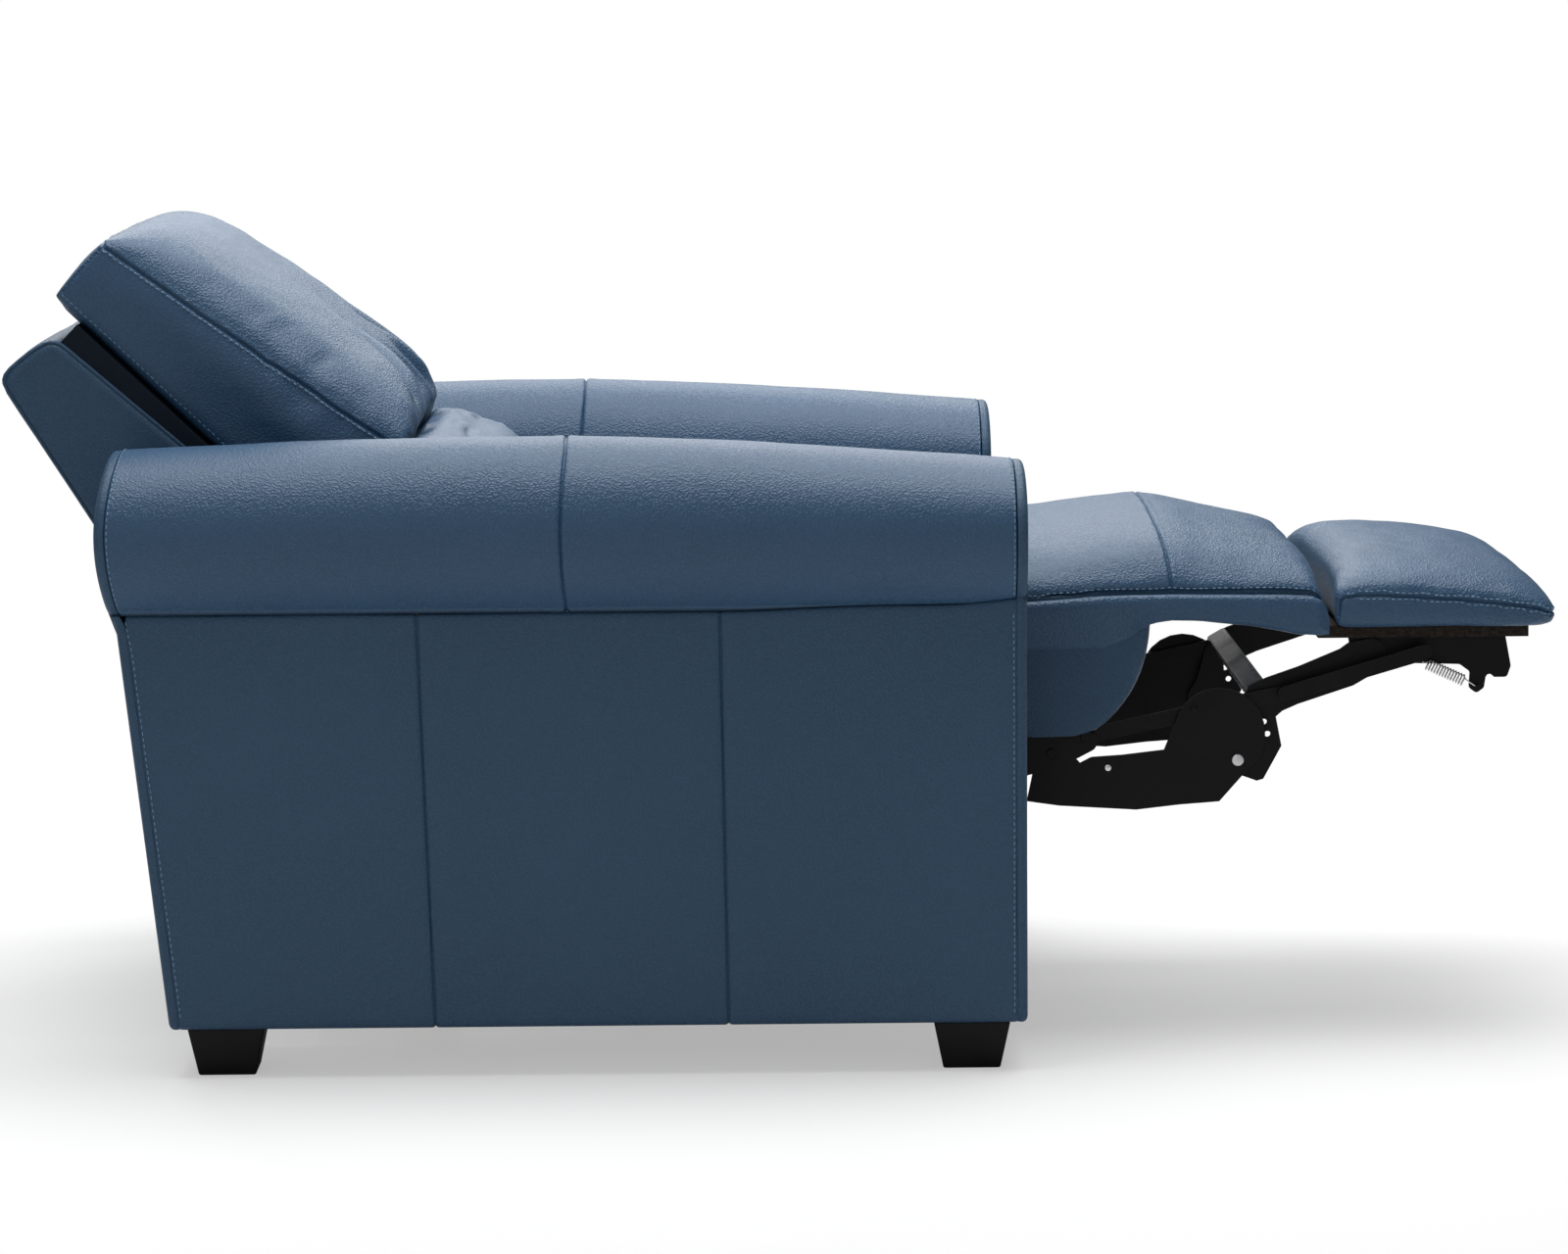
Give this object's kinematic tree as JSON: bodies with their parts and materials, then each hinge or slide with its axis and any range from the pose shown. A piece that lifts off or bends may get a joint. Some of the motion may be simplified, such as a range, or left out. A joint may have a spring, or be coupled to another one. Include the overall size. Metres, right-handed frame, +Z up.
{
  "type": "wall hugger recliner",
  "caption": "Leather wall hugger recliner with rolled arms, its back tilted and its footrest open on a folding steel linkage.",
  "frame": {"origin": "on the floor under the middle of the open chair's box", "axes": "+X the way the sitter faces, +Y the sitter's left, +Z up"},
  "size_m": [1.6196, 0.96, 0.857],
  "materials": {
    "leather": "grained blue leather, semi-matt",
    "black_plastic": "satin black moulding",
    "black_steel": "black paint on pressed steel",
    "grey_steel": "dark grey satin tube",
    "zinc": "bright zinc plate",
    "wood": "sawn board, unpainted",
    "dark_board": "brown-black fibreboard"
  },
  "bodies": {
    "base": {"right_arm_roll": "leather", "left_arm_roll": "leather", "right_arm_cover": "leather", "left_arm_cover": "leather", "right_arm_frame": "wood", "left_arm_frame": "wood", "front_rail": "wood", "rear_rail": "wood", "right_track": "black_steel", "left_track": "black_steel", "front_right_foot": "black_plastic", "front_left_foot": "black_plastic", "rear_right_foot": "black_plastic", "rear_left_foot": "black_plastic", "recline_bracket": "black_steel", "recline_motor": "black_plastic", "control_box": "black_plastic", "switch_plate": "black_plastic"},
    "recline_rocker": {"recline_rocker": "black_plastic"},
    "footrest_rocker": {"footrest_rocker": "black_plastic"},
    "carriage": {"right_side_plate": "black_steel", "left_side_plate": "black_steel", "front_tube": "black_steel", "rear_tube": "black_steel", "front_seat_rail": "wood", "rear_seat_rail": "wood", "right_seat_rail": "wood", "left_seat_rail": "wood", "seat_springs": "zinc", "seat_cushion": "leather", "right_seat_skirt": "leather", "left_seat_skirt": "leather", "recline_rod": "zinc", "footrest_motor": "black_plastic"},
    "front_rollers": {"front_rollers": "black_plastic"},
    "rear_rollers": {"rear_rollers": "black_plastic"},
    "back": {"back_frame": "wood", "back_springs": "zinc", "outer_back": "leather", "back_cushion": "leather", "lumbar_cushion": "leather", "right_back_bracket": "black_steel", "left_back_bracket": "black_steel"},
    "recline_links": {"right_recline_link": "black_steel", "left_recline_link": "black_steel"},
    "footrest": {"footrest_board": "dark_board", "footrest_pad": "leather", "leg_pad": "leather", "right_footrest_bracket": "black_steel", "left_footrest_bracket": "black_steel", "right_footrest_spring": "zinc", "left_footrest_spring": "zinc"},
    "long_links": {"right_long_link": "black_steel", "left_long_link": "black_steel", "torque_tube": "grey_steel"},
    "bell_cranks": {"right_bell_crank": "black_steel", "left_bell_crank": "black_steel", "crossbar": "grey_steel"},
    "guide_links": {"guide_links": "black_steel"},
    "board_links": {"board_links": "black_steel"}
  },
  "joints": [
    {"name": "carriage_slide", "type": "slide", "parent": "base", "child": "carriage", "axis": [1, 0, 0], "range_m": [-0.07, 0]},
    {"name": "back_recline", "type": "hinge", "parent": "carriage", "child": "back", "pos_m": [-0.31, 0, 0.41], "axis": [0, 1, 0], "range_deg": [0, 25]},
    {"name": "recline_link_swing", "type": "hinge", "parent": "base", "child": "recline_links", "pos_m": [-0.393, 0, 0.139], "axis": [0, 1, 0], "range_deg": [-66.3, 0.2]},
    {"name": "front_roller_turn", "type": "hinge", "parent": "carriage", "child": "front_rollers", "pos_m": [0.1, 0, 0.1698], "axis": [0, 1, 0], "range_deg": [-245, 2]},
    {"name": "rear_roller_turn", "type": "hinge", "parent": "carriage", "child": "rear_rollers", "pos_m": [-0.19, 0, 0.1698], "axis": [0, 1, 0], "range_deg": [-245, 2]},
    {"name": "footrest_fold", "type": "hinge", "parent": "carriage", "child": "footrest", "pos_m": [0.389, 0, 0.482], "axis": [0, 1, 0], "range_deg": [0, 90]},
    {"name": "long_link_swing", "type": "hinge", "parent": "carriage", "child": "long_links", "pos_m": [0.277, 0, 0.295], "axis": [0, 1, 0], "range_deg": [-0.2, 114.86]},
    {"name": "guide_link_swing", "type": "hinge", "parent": "carriage", "child": "guide_links", "pos_m": [0.312, 0, 0.31111], "axis": [0, 1, 0], "range_deg": [-0.2, 146.71]},
    {"name": "bell_crank_swing", "type": "hinge", "parent": "footrest", "child": "bell_cranks", "pos_m": [0.613, 0, 0.397], "axis": [0, 1, 0], "range_deg": [-101.5, 0.2]},
    {"name": "board_link_swing", "type": "hinge", "parent": "footrest", "child": "board_links", "pos_m": [0.666, 0, 0.398], "axis": [0, 1, 0], "range_deg": [-92.01, 0.2]},
    {"name": "footrest_rocker_tilt", "type": "hinge", "parent": "base", "child": "footrest_rocker", "pos_m": [0.156, -0.2757, 0.54], "axis": [0, 0, 1], "range_deg": [-6, 6], "stiffness_Nm_per_rad": 0.05},
    {"name": "recline_rocker_tilt", "type": "hinge", "parent": "base", "child": "recline_rocker", "pos_m": [0.124, -0.2757, 0.54], "axis": [0, 0, 1], "range_deg": [-6, 6], "stiffness_Nm_per_rad": 0.05}
  ],
  "couplings": [
    {"joint": "back_recline", "follows": "carriage_slide", "rad_per_m": -6.2333},
    {"joint": "recline_link_swing", "follows": "carriage_slide", "rad_per_m": 16.488},
    {"joint": "front_roller_turn", "follows": "carriage_slide", "rad_per_m": 60.606},
    {"joint": "rear_roller_turn", "follows": "carriage_slide", "rad_per_m": 60.606},
    {"joint": "long_link_swing", "follows": "footrest_fold", "ratio": 1.274},
    {"joint": "guide_link_swing", "follows": "footrest_fold", "ratio": 1.6279},
    {"joint": "bell_crank_swing", "follows": "footrest_fold", "ratio": -1.1255},
    {"joint": "board_link_swing", "follows": "footrest_fold", "ratio": -1.0201}
  ]
}
